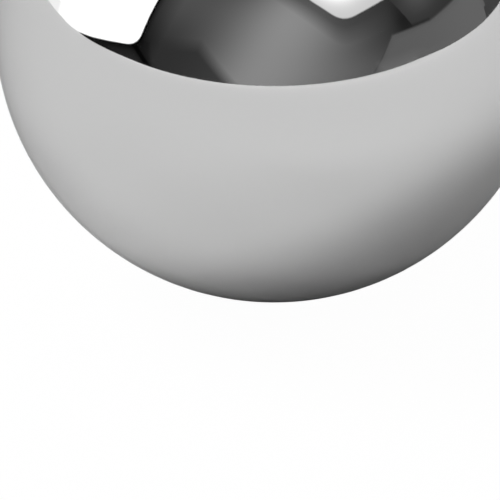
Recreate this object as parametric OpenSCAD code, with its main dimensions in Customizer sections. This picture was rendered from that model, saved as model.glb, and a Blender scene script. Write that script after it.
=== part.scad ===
// Steel ball: one solid ball of hardened bearing steel. It is headed cold from wire, then
// ground and lapped until it is a true sphere with a mirror finish, so it has no flat,
// hole, seam, coating or core. The origin is the centre of the ball, and +Z is up.

/* [Ball] */
// Nominal diameter, the size that such a ball is sold by, in mm
ball_d = 25; // [10:0.5:50]

/* [Hidden] */

// Facets round the equator where the sphere is drawn as a mesh
$fn = 180;

// Lapped bearing steel, which looks the same from every side
steel_colour = [0.77, 0.78, 0.79];

// The ball: every point of its surface lies half of ball_d from the origin
module ball() {
    color(steel_colour)
        sphere(d = ball_d);
}

ball();
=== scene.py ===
import bpy
import numpy as np
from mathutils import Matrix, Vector


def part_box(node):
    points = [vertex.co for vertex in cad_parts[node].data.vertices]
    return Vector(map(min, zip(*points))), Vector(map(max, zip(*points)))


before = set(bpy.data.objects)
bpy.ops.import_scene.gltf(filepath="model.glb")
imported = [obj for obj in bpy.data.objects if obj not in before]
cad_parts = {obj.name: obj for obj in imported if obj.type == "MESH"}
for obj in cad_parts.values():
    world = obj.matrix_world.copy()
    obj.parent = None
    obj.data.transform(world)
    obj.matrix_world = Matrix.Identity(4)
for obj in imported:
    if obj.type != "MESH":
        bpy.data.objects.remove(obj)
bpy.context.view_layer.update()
scene = bpy.context.scene


# ---- Ball ------------------------------------------------------------------------------
# One solid ball of hardened bearing steel, the whole of the object. It is headed cold from
# wire, then ground and lapped between plates until it is a true sphere with a mirror finish.

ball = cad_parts["ball"]
ball_low, ball_high = (np.array(corner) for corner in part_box("ball"))
ball_centre = np.zeros(3)
ball_radius = float(ball_high[2] - ball_low[2]) / 2


def linear(hex_colour):
    """The linear colour of an sRGB hex value such as "#C5C5C5"."""
    srgb = np.array([int(hex_colour[i:i + 2], 16) for i in (1, 3, 5)]) / 255
    rgb = np.where(srgb <= 0.04045, srgb / 12.92, ((srgb + 0.055) / 1.055) ** 2.4)
    return (*rgb.tolist(), 1.0)


def add_node(tree, kind, inputs=None, **settings):
    """Adds one node. settings are its properties, and inputs gives its sockets, by name or
    number, a value or the output that feeds them."""
    made = tree.nodes.new("ShaderNode" + kind)
    for name, value in settings.items():
        setattr(made, name, value)
    for socket, value in (inputs or {}).items():
        if isinstance(value, bpy.types.NodeSocket):
            tree.links.new(value, made.inputs[socket])
        else:
            made.inputs[socket].default_value = value
    return made


def new_material(name):
    """An empty node material, with its tree and its output node."""
    material = bpy.data.materials.new(name)
    material.use_nodes = True
    material.node_tree.nodes.clear()
    return material, material.node_tree, add_node(material.node_tree, "OutputMaterial")


# Lapped bearing steel: a neutral grey metal that mirrors all round it with sharp edges. The
# laps leave arcs far too fine to see, which only take the last of the sharpness off. How much
# they do drifts by a fifth, in clouds of about 4 mm.
steel_grey = linear("#C5C5C5")
steel_edge_tint = linear("#D9D9D9")
steel_rim_tint = linear("#000000")
rim_narrowness = 12.0
rim_strength = 1.7
steel_roughness = 0.025
roughness_spread = 0.2
roughness_cloud_size = 0.004
noise_low = 0.3
noise_high = 0.7
lap_axes = [(0.36, 0.48, 0.80), (-0.80, 0.36, 0.48), (0.48, -0.80, 0.36)]
lap_mark_spacing = 0.0001
lap_mark_depth = 0.00000004

steel, tree, output = new_material("lapped_bearing_steel")
place = add_node(tree, "TexCoord").outputs["Object"]
marks = 0.0
for axis in lap_axes:
    # A lap mark is an arc of a circle round one axis, so it keeps one distance along the axis
    along = add_node(tree, "VectorMath", {0: place, 1: axis}, operation="DOT_PRODUCT").outputs["Value"]
    lines = add_node(tree, "TexNoise", {"W": along, "Scale": 1 / lap_mark_spacing, "Detail": 1.0},
                     noise_dimensions="1D").outputs["Fac"]
    marks = add_node(tree, "Math", {0: lines, 1: marks}, operation="ADD").outputs[0]
cloud = add_node(tree, "TexNoise", {"Vector": place, "Scale": 1 / roughness_cloud_size,
                                    "Detail": 2.0}).outputs["Fac"]
roughness = add_node(tree, "MapRange", {"Value": cloud, "From Min": noise_low, "From Max": noise_high,
                                        "To Min": (1 - roughness_spread) * steel_roughness,
                                        "To Max": (1 + roughness_spread) * steel_roughness})
# The facets stand for a true sphere, so the steel faces straight away from the ball's centre
outwards = add_node(tree, "VectorMath", {0: place}, operation="NORMALIZE").outputs["Vector"]
round_face = add_node(tree, "VectorTransform", {"Vector": outwards}, vector_type="NORMAL",
                      convert_from="OBJECT", convert_to="WORLD").outputs["Vector"]
bump = add_node(tree, "Bump", {"Height": marks, "Distance": lap_mark_depth, "Strength": 1.0,
                               "Normal": round_face})
# Seen almost edge on, the steel mirrors a little less, which draws a fine dark rim
facing = add_node(tree, "LayerWeight", {"Blend": 0.5, "Normal": round_face}).outputs["Facing"]
glance = add_node(tree, "Math", {0: facing, 1: rim_narrowness}, operation="POWER").outputs[0]
rim = add_node(tree, "Math", {0: glance, 1: rim_strength}, operation="MULTIPLY", use_clamp=True)
edge_tint = add_node(tree, "Mix", {"Factor": rim.outputs[0], "A": steel_edge_tint,
                                   "B": steel_rim_tint}, data_type="RGBA").outputs[2]
shader = add_node(tree, "BsdfPrincipled", {"Base Color": steel_grey, "Metallic": 1.0,
                                           "Specular Tint": edge_tint,
                                           "Roughness": roughness.outputs["Result"],
                                           "Normal": bump.outputs["Normal"]})
tree.links.new(shader.outputs["BSDF"], output.inputs["Surface"])

for material_slot in ball.material_slots:
    material_slot.material = steel


# ---- Floor -----------------------------------------------------------------------------
# A plain matt white floor that reaches to the studio's wall. The camera sees it nearly as bare white,
# while the ball mirrors it as it is lit, with the shadow under the ball, and with painted light that
# makes it brighter far off.

floor_radius = 32.0
floor_white = linear("#E7E7E7")
# Painted light: the floor's white is painted brighter far off, standing for more light falling there
painted_far_light_white = linear("#F6F6F6")
painted_far_light_from = 0.1
painted_far_light_to = 1.0
painted_far_light_lean = 0.7
floor_seen_white = 0.98
pure_white = linear("#FFFFFF")


def flat_disc(name, height, radius, steps=96):
    """A flat round face: its rim lies at the radius from the z axis, at one height."""
    turn = np.arange(steps) * 2 * np.pi / steps
    rim = np.stack([radius * np.cos(turn), radius * np.sin(turn), np.full(steps, height)], axis=-1)
    mesh = bpy.data.meshes.new(name)
    mesh.from_pydata(rim, [], [range(steps)])
    disc = bpy.data.objects.new(name, mesh)
    scene.collection.objects.link(disc)
    return disc


white, tree, output = new_material("white_floor")
place = add_node(tree, "TexCoord").outputs["Object"]
# Painted light: far off the white is painted brighter, and sooner on the ball's right
away = add_node(tree, "VectorMath", {0: place}, operation="LENGTH").outputs["Value"]
right = add_node(tree, "SeparateXYZ", {0: place}).outputs["X"]
lean = add_node(tree, "Math", {0: right, 1: painted_far_light_lean, 2: away}, operation="MULTIPLY_ADD")
far = add_node(tree, "MapRange", {"Value": lean.outputs[0], "From Min": painted_far_light_from,
                                  "From Max": painted_far_light_to})
tone = add_node(tree, "Mix", {"Factor": far.outputs["Result"], "A": floor_white,
                              "B": painted_far_light_white}, data_type="RGBA")
matt = add_node(tree, "BsdfDiffuse", {"Color": tone.outputs[2]}).outputs[0]
bare = add_node(tree, "Emission", {"Color": pure_white, "Strength": 1.0}).outputs[0]
camera_ray = add_node(tree, "LightPath").outputs["Is Camera Ray"]
share = add_node(tree, "Math", {0: camera_ray, 1: floor_seen_white}, operation="MULTIPLY").outputs[0]
seen = add_node(tree, "MixShader", {0: share, 1: matt, 2: bare}).outputs[0]
# From below it is clear
clear = add_node(tree, "BsdfTransparent").outputs[0]
below = add_node(tree, "NewGeometry").outputs["Backfacing"]
shader = add_node(tree, "MixShader", {0: below, 1: seen, 2: clear})
tree.links.new(shader.outputs[0], output.inputs["Surface"])

floor = flat_disc("floor", float(ball_low[2]), floor_radius)
floor.data.materials.append(white)


# ---- Studio wall -----------------------------------------------------------------------
# The ball mirrors all that stands round it, so the studio is laid out in full. Its wall and ceiling are
# one dim dome, no lamp, whose glow is painted light: how the studio's lamps light it is painted on, and
# it is so far off beside the ball that its light on the floor is even. The camera doesn't see the
# studio. Its angles are in degrees, as seen from the ball.

dome_distance = 32.0
# The wall's light is painted on: its base, the pool, spill and skirt glows and the back grey; the
# corner is painted shade
wall_light = 0.013
pool_light = 0.41
pool_at = (-1.3, 12)
pool_lean = 0.65
pool_left_spread = 17.8
pool_right_spread = 23.9
pool_top = 40
spill_light = 0.174
spill_at = (-90, 32.7)
spill_spread = (60, 12.5)
skirt_light = 0.098
skirt_at = 37.5
skirt_spread = (17.9, 6.6)
corner_shade = 0.884
corner_at = (57.3, 35.8)
corner_spread = (3.3, 17.1)
back_wall_light = 0.093
back_wall_from = 70
back_wall_fade = 27


def towards(azimuth, height):
    """The unit vector from the ball at an azimuth from the front, turning to the right, and at
    a height above the horizon: (sin a cos h, -cos a cos h, sin h)."""
    a, h = np.radians(azimuth), np.radians(height)
    return np.stack([np.sin(a) * np.cos(h), -np.cos(a) * np.cos(h), np.sin(h)], axis=-1)


def bell(*away):
    """A glow that fades out all round: e to minus half the square of the distance, whose parts
    are given in units of the glow's spread."""
    return np.exp(-sum(np.square(part) for part in away) / 2)


def dome_light(azimuth, height):
    """The painted light of the dome. A wide painted pool of light on the front wall leans to the right
    as it rises, and dies out above by the fourth power of the height. Weaker painted glows lie left of
    it, the spill, and at its foot, the skirt. A corner on the right is darkened by painted shade. Each
    is a bell, and to the back all of it fades into one grey."""
    across = azimuth - pool_at[0] - pool_lean * (height - pool_at[1])
    pool = bell(across / np.where(across < 0, pool_left_spread, pool_right_spread),
                (height / pool_top) ** 4)
    spill = bell((azimuth - spill_at[0]) / spill_spread[0], (height - spill_at[1]) / spill_spread[1])
    skirt = bell((azimuth - skirt_at) / skirt_spread[0], height / skirt_spread[1])
    corner = bell((azimuth - corner_at[0]) / corner_spread[0],
                  (height - corner_at[1]) / corner_spread[1])
    glows = wall_light + pool_light * pool + spill_light * spill + skirt_light * skirt
    front = glows * (1 - corner_shade * corner)
    back = np.clip((np.abs(azimuth) - back_wall_from) / back_wall_fade, 0, 1)
    return front * (1 - back) + back_wall_light * back


def studio_mesh(name, points, faces, light, solid):
    """A piece of the studio, out of the camera's sight, with its attributes light and solid."""
    mesh = bpy.data.meshes.new(name)
    mesh.from_pydata(points + ball_centre, [], faces)
    mesh.attributes.new("light", "FLOAT", "POINT").data.foreach_set("value", light)
    mesh.attributes.new("solid", "FLOAT", "POINT").data.foreach_set("value", solid)
    piece = bpy.data.objects.new(name, mesh)
    scene.collection.objects.link(piece)
    piece.visible_camera = False
    return piece


def dome(name, distance, steps=180):
    """Half a sphere over azimuth and height, at one distance, with its light at each point. Its
    rows lie closer towards the horizon, at 90 degrees times a share to the power 1.5."""
    height = 90 * np.linspace(0, 1, steps // 2 + 1) ** 1.5
    azimuth, height = np.meshgrid(np.linspace(-180, 180, 2 * steps + 1), height)
    corner = np.arange(azimuth.size).reshape(azimuth.shape)
    quads = np.stack([corner[:-1, :-1], corner[:-1, 1:], corner[1:, 1:], corner[1:, :-1]], axis=-1)
    points = distance * towards(azimuth, height).reshape(-1, 3)
    light = dome_light(azimuth, height).ravel()
    return studio_mesh(name, points, quads.reshape(-1, 4), light, np.ones(azimuth.size))


def glow(name, level, hot=0.0, hot_at=(0, 90), hot_spread=10.0, lamp=False):
    """The light of a piece of the studio: one level, and a hot spot that fades out by a bell curve,
    both times the attribute light. Unless the piece is a lamp, this light is painted on. Where it isn't
    solid, it is see-through."""
    material, tree, output = new_material(name)
    place = add_node(tree, "TexCoord").outputs["Object"]
    ray = add_node(tree, "VectorMath", {0: place}, operation="NORMALIZE").outputs["Vector"]
    away = add_node(tree, "VectorMath", {0: ray, 1: towards(*hot_at)}, operation="DISTANCE")
    square = add_node(tree, "Math", {0: away.outputs["Value"], 1: 2.0}, operation="POWER").outputs[0]
    fade = add_node(tree, "Math", {0: square, 1: -0.5 / np.radians(hot_spread) ** 2},
                    operation="MULTIPLY").outputs[0]
    spot = add_node(tree, "Math", {0: fade}, operation="EXPONENT").outputs[0]
    whole = add_node(tree, "Math", {0: spot, 1: hot, 2: level}, operation="MULTIPLY_ADD").outputs[0]
    share = add_node(tree, "Attribute", attribute_name="light").outputs["Fac"]
    strength = add_node(tree, "Math", {0: whole, 1: share}, operation="MULTIPLY").outputs[0]
    light = add_node(tree, "Emission", {"Color": pure_white, "Strength": strength}).outputs[0]
    clear = add_node(tree, "BsdfTransparent").outputs[0]
    solid = add_node(tree, "Attribute", attribute_name="solid").outputs["Fac"]
    shader = add_node(tree, "MixShader", {0: solid, 1: clear, 2: light})
    tree.links.new(shader.outputs[0], output.inputs["Surface"])
    material.cycles.emission_sampling = "FRONT_BACK" if lamp else "NONE"
    return material


studio_dome = dome("studio_dome", dome_distance)
studio_dome.data.materials.append(glow("dome_light", 1.0))


# ---- Flag and screens ------------------------------------------------------------------
# Flat black and grey cloths stretched on frames, each square to the ball. They stand on the floor in
# front of the wall, on both sides of its pool of light, and each covers what is farther off. None is a
# lamp: each glows with painted light, as bright as it is seen lit, and two cards among them are painted
# shade and painted light alone.

flag_distance = 24.0
flag_corners = [(-75, -6), (-75, 3.1), (-31.2, 13.2), (-16.2, -1), (-18.2, -6)]
flag_rings = [(-2.8, 1, 0.886), (2.8, 1, 0)]
flag_light = 0.049


def card(name, corners, distance, rings, rounding=0.0, corner_steps=9):
    """A flat card that faces the ball. corners gives the azimuth and height of each corner, and
    the card's plane is square to their mean. Each ring is the outline moved outwards by its
    first value, in degrees: a corner moves along (m + n) / (1 + m.n), for the outward normals m
    and n of its two sides. Its other values are the light and solid there. A corner Q is rounded
    by the curve (1-t)^2 P + 2t(1-t) Q + t^2 R, where P and R lie on its sides at the rounding."""
    rays = towards(*np.array(corners, float).T)
    facing = rays.mean(axis=0) / np.linalg.norm(rays.mean(axis=0))
    tips = rays / (rays @ facing)[:, None] * distance
    sides = np.roll(tips, -1, axis=0) - tips
    sides /= np.linalg.norm(sides, axis=1, keepdims=True)
    outward = np.cross(sides, facing)
    outward *= np.sign((outward * (tips - tips.mean(axis=0))).sum())
    arriving = np.roll(outward, 1, axis=0)
    mitre = (arriving + outward) / (1 + (arriving * outward).sum(axis=1, keepdims=True))

    t = np.linspace(0, 1, corner_steps)[None, :, None]
    curve = distance * np.radians(rounding)
    outlines = []
    for offset, _, _ in rings:
        moved = tips + distance * np.radians(offset) * mitre
        start = moved - curve * np.roll(sides, 1, axis=0)
        end = moved + curve * sides
        rounded = ((1 - t) ** 2 * start[:, None] + 2 * t * (1 - t) * moved[:, None]
                   + t ** 2 * end[:, None])
        outlines.append(rounded.reshape(-1, 3))

    count = len(outlines[0])
    i = np.arange(count)
    j = (i + 1) % count
    faces = [i] + [quad for ring in range(len(rings) - 1)
                   for quad in np.stack([i, j, j + count, i + count], axis=-1) + ring * count]
    _, light, solid = np.array(rings, float).T
    return studio_mesh(name, np.concatenate(outlines), faces,
                       np.repeat(light, count), np.repeat(solid, count))


# The flag is dark and low on the left, and its edges are soft
flag = card("dark_flag", flag_corners, flag_distance, flag_rings)
flag.data.materials.append(glow("flag_grey", flag_light))

# A dark screen is high on the right, and painted light on its upper part stands for the right softbox
# shining on it
high_screen_distance = 23.5
high_screen_corners = [(62.7, 8), (53.6, 26), (70, 30), (100, 30), (100, 8)]
high_screen_rings = [(-0.2, 1, 1), (0.2, 1, 0)]
high_screen_light = 0.059
high_screen_painted_light = 0.492
high_screen_painted_light_at = (69, 30)
high_screen_painted_light_spread = 6.1
high_screen = card("high_screen", high_screen_corners, high_screen_distance, high_screen_rings)
high_screen.data.materials.append(glow("high_screen_grey", high_screen_light, high_screen_painted_light,
                                       high_screen_painted_light_at, high_screen_painted_light_spread))

# A low grey screen stands before it. Its middle is bent down, its upper edge is blurred, and over its
# left half a narrow dark card paints the shade that lies between the two.
low_shade_distance = 23.7
low_shade_corners = [(60, 10), (60, 12.1), (68.5, 11), (69, 10)]
low_shade_rings = [(-0.4, 1, 0.9), (0.4, 1, 0.55), (1.2, 1, 0)]
low_shade_light = 0.03
low_shade = card("low_shade", low_shade_corners, low_shade_distance, low_shade_rings)
low_shade.data.materials.append(glow("low_painted_shade", low_shade_light))

low_screen_distance = 23.0
low_screen_corners = [(39.7, -1), (50.6, 12), (69, 10.5), (97.6, 11.05), (98.6, -1)]
# Its painted glow dims to about half along its edge, and a faint painted glow lies towards its right
# end
low_screen_rings = [(-2.5, 1, 1), (-0.3, 0.91, 1), (0.15, 0.55, 1), (0.7, 0.55, 0)]
low_screen_light = 0.185
low_screen_painted_light = 0.035
low_screen_painted_light_at = (92, 5)
low_screen_painted_light_spread = 16.0
low_screen = card("low_screen", low_screen_corners, low_screen_distance, low_screen_rings)
low_screen.data.materials.append(glow("low_screen_grey", low_screen_light, low_screen_painted_light,
                                      low_screen_painted_light_at, low_screen_painted_light_spread))

# Painted light on the low screen's left foot stands for the floor lighting it, and fades upwards
low_shine_distance = 22.8
low_shine_corners = [(45.5, -2), (45.5, 0.5), (58, 0.5), (66, -2)]
low_shine_rings = [(-0.5, 1, 1), (1.5, 1, 0.55), (4.5, 1, 0)]
low_shine_light = 0.245
low_shine = card("low_shine", low_shine_corners, low_shine_distance, low_shine_rings)
low_shine.data.materials.append(glow("low_painted_shine", low_shine_light))


# ---- Kerbs -----------------------------------------------------------------------------
# Low strips of board that stand on edge on the floor, from 24 m away at both sides of the front to 0.4
# m beside the ball, and round to the back. They hide the floor's far edge. None is a lamp, and their
# light is painted on. Each of their posts is (azimuth, dip of the foot, height of the top, painted
# light).

right_kerb_posts = [
    (60, 0.04, 1.8, 0.205), (64, 0.15, 1.8, 0.205), (70.5, 0.49, 1.8, 0.205), (77.8, 0.81, 1.8, 0.21),
    (85.8, 1.15, 1.8, 0.217), (93.9, 1.56, 1.8, 0.22), (96.2, 1.6, 1.8, 0.22), (96.4, 1.61, 1.8, 0.085),
    (101.3, 1.74, 2, 0.093), (107, 1.9, 2, 0.093), (115, 1.9, 2, 0.093), (135, 1.4, 2, 0.093),
    (160, 0.6, 2, 0.093), (178, 0.04, 2, 0.093)]
left_kerb_posts = [
    (-60, 0.03, 0.35, 0.012), (-63, 0.08, 0.35, 0.012), (-66.9, 0.22, 0.35, 0.012),
    (-70.9, 0.36, 0.4, 0.012), (-77.2, 0.67, 0.8, 0.012), (-79.3, 0.76, 0.45, 0.012),
    (-81.5, 0.88, 0.03, 0.012), (-84, 0.9, -0.5, 0.012), (-86, 0.92, -0.92, 0.012)]
# The lit kerb's white is painted light from the left softbox, and its last posts are painted shade
lit_kerb_posts = [
    (-80.5, 0.7, 0.4, 1.9), (-84, 0.8, 0.8, 1.9), (-85.5, 0.84, 1, 1.9), (-87.3, 0.98, 1.2, 1.9),
    (-90, 1.16, 1.5, 1.9), (-93, 1.25, 1.8, 1.9), (-97, 1.22, 2, 1.9), (-98.5, 1.28, 2, 1.9),
    (-100, 1.34, 2, 1.57), (-110, 1.75, 2, 1.57), (-117, 1.8, 2, 1.57), (-117.2, 1.8, 2, 0),
    (-118.4, 1.8, 2, 0), (-118.6, 1.8, 2, 0.05), (-135, 1.4, 2, 0.093), (-160, 0.6, 2, 0.093),
    (-178, 0.04, 2, 0.093)]


def kerb(name, posts):
    """A low strip over its posts. A post's foot is on the floor and is seen at a dip below the
    horizon, so it is the ball's radius / sin(dip) away, and its top is as far off."""
    azimuth, dip, top, light = np.array(posts, float).T
    away = (ball_radius / np.sin(np.radians(dip)))[:, None]
    foot = towards(azimuth, -dip) * away
    points = np.concatenate([foot, towards(azimuth, top) * away])
    i = np.arange(len(foot) - 1)
    quads = np.stack([i, i + 1, i + 1 + len(foot), i + len(foot)], axis=-1)
    return studio_mesh(name, points, quads, np.tile(light, 2), np.ones(len(points)))


# The right kerb is as grey as the low screen, and behind the ball as grey as the wall
right_kerb = kerb("right_kerb", right_kerb_posts)
right_kerb.data.materials.append(glow("kerb_grey", 1.0))

# The left kerb is black. The lit one goes on from it under the left softbox, where painted light stands
# for the softbox's light and makes it white. At the foot of the softbox's housing it is black, and then
# painted shade from the softbox darkens it, fading to the wall's grey.
left_kerb = kerb("left_kerb", left_kerb_posts)
left_kerb.data.materials.append(glow("kerb_black", 1.0))
lit_kerb = kerb("lit_kerb", lit_kerb_posts)
lit_kerb.data.materials.append(glow("kerb_painted_light", 1.0))


# ---- Left softbox ----------------------------------------------------------------------
# The main light: a white cloth with a lamp behind it, in a black housing on a black stand. It is nearer
# than all of the screens, and the wall behind it is in its shade, painted as a dark see-through ring
# round its housing.

softbox_distance = 16.0
left_softbox_corners = [(-57.5, 5.9), (-37.1, 68.6), (-131, 68.6), (-116, -8.7)]
# The last three rings are painted shade, dark and fading out, over what lies behind the softbox
left_softbox_rings = [(-0.45, 1, 1), (0.2, 0, 1), (1.0, 0, 1), (1.3, 0.001, 0.82),
                      (4.1, 0.001, 0.50), (14.5, 0.001, 0)]
left_softbox_rounding = 7.6
left_softbox_light = 2.28
left_softbox_hot = 6.96
left_softbox_hot_at = (-97.8, 51.7)
left_softbox_hot_spread = 10.1
left_softbox = card("left_softbox", left_softbox_corners, softbox_distance, left_softbox_rings,
                    left_softbox_rounding)
left_softbox.data.materials.append(glow("left_softbox_light", left_softbox_light, left_softbox_hot,
                                        left_softbox_hot_at, left_softbox_hot_spread, lamp=True))

stand_distance = 22.5
left_stand_corners = [(-61.1, 5.9), (-57.6, 5.9), (-51, 0.6), (-54.2, 0.6)]
left_stand_rings = [(-0.3, 1, 1), (0.2, 1, 0.4), (2.2, 1, 0)]
left_stand_light = 0.004
left_stand = card("left_stand", left_stand_corners, stand_distance, left_stand_rings)
left_stand.data.materials.append(glow("stand_black", left_stand_light))

# A dark card paints the stand's shade on the flag, just right of it
stand_shade_distance = 23.0
stand_shade_corners = [(-58, 9), (-52.5, 9), (-50, -1), (-54, -1)]
stand_shade_rings = [(-1.2, 1, 0.5), (0.6, 1, 0)]
stand_shade_light = 0.012
stand_shade = card("stand_shade", stand_shade_corners, stand_shade_distance, stand_shade_rings)
stand_shade.data.materials.append(glow("painted_stand_shade", stand_shade_light))


# ---- Right softbox ---------------------------------------------------------------------
# A second softbox of the same make, a wide and low one that hangs higher, with a dark housing and a
# wide painted shade round it, a dark see-through ring.

right_softbox_corners = [(30.6, 22.6), (80, 24.7), (86, 36), (13.6, 36)]
# Outside the cloth, the rings are a dark housing line and then painted shade that fades out over what
# lies behind
right_softbox_rings = [(-0.5, 1, 1), (0.15, 0.05, 0.8), (0.9, 0.05, 0.71), (2.7, 0.05, 0.68),
                       (10.5, 0.05, 0)]
right_softbox_rounding = 6.1
right_softbox_light = 1.05
right_softbox_hot = 5.33
right_softbox_hot_at = (34.4, 42.7)
right_softbox_hot_spread = 5.6
right_softbox = card("right_softbox", right_softbox_corners, softbox_distance, right_softbox_rings,
                     right_softbox_rounding)
right_softbox.data.materials.append(glow("right_softbox_light", right_softbox_light, right_softbox_hot,
                                         right_softbox_hot_at, right_softbox_hot_spread, lamp=True))


# ---- Far softboxes ---------------------------------------------------------------------
# Three more softboxes in thin black housings, which light the floor from where the ball's
# seen side can't mirror them: one over the right softbox, and two behind the ball.

softbox_rings = [(-0.5, 1, 1), (0.3, 0, 1), (1.0, 0, 1), (1.2, 0, 0)]
softbox_rounding = 3.0
softboxes = {"high_softbox": ([(42.3, 51.7), (85, 51.7), (85, 65.7), (42.3, 65.7)], 3.63),
             "far_softbox": ([(104, 14), (147, 14), (147, 57), (104, 57)], 1.27),
             "back_softbox": ([(161, 31.4), (239.4, 31.4), (239.4, 44.4), (161, 44.4)], 4.43)}
for name, (corners, level) in softboxes.items():
    softbox = card(name, corners, softbox_distance, softbox_rings, softbox_rounding)
    softbox.data.materials.append(glow(name + "_light", level, lamp=True))


# ---- Backdrop --------------------------------------------------------------------------
# Past the floor the camera sees plain white, as of a white paper roll. It gives the ball no
# light: the ball mirrors the studio there.

world = bpy.data.worlds.new("plain_white")
scene.world = world
world.use_nodes = True
tree = world.node_tree
tree.nodes.clear()
output = add_node(tree, "OutputWorld")
camera_ray = add_node(tree, "LightPath").outputs["Is Camera Ray"]
dark = add_node(tree, "Background", {"Color": pure_white, "Strength": 0.0}).outputs[0]
bare = add_node(tree, "Background", {"Color": pure_white, "Strength": 1.0}).outputs[0]
shader = add_node(tree, "MixShader", {0: camera_ray, 1: dark, 2: bare})
tree.links.new(shader.outputs[0], output.inputs["Surface"])


# ---- Camera ----------------------------------------------------------------------------
# It looks down on the ball from close by with a long lens, and sees its lower half.

camera_distance = 28.63 * ball_radius
camera_height = 25.5
camera_tilt = 27.125
camera_turn = 0.172
camera_lens = 575.8
camera_sensor = 36.0
camera_clip_start = 0.01

camera = bpy.data.objects.new("camera", bpy.data.cameras.new("camera"))
scene.collection.objects.link(camera)
camera.data.sensor_width = camera_sensor
camera.data.lens = camera_lens
camera.data.clip_start = camera_clip_start
camera.location = Vector(ball_centre + camera_distance * towards(0, camera_height))
camera.rotation_mode = "YXZ"
camera.rotation_euler = (np.radians(90 - camera_tilt), np.radians(camera_turn), 0)
scene.camera = camera
scene.view_settings.view_transform = "Standard"
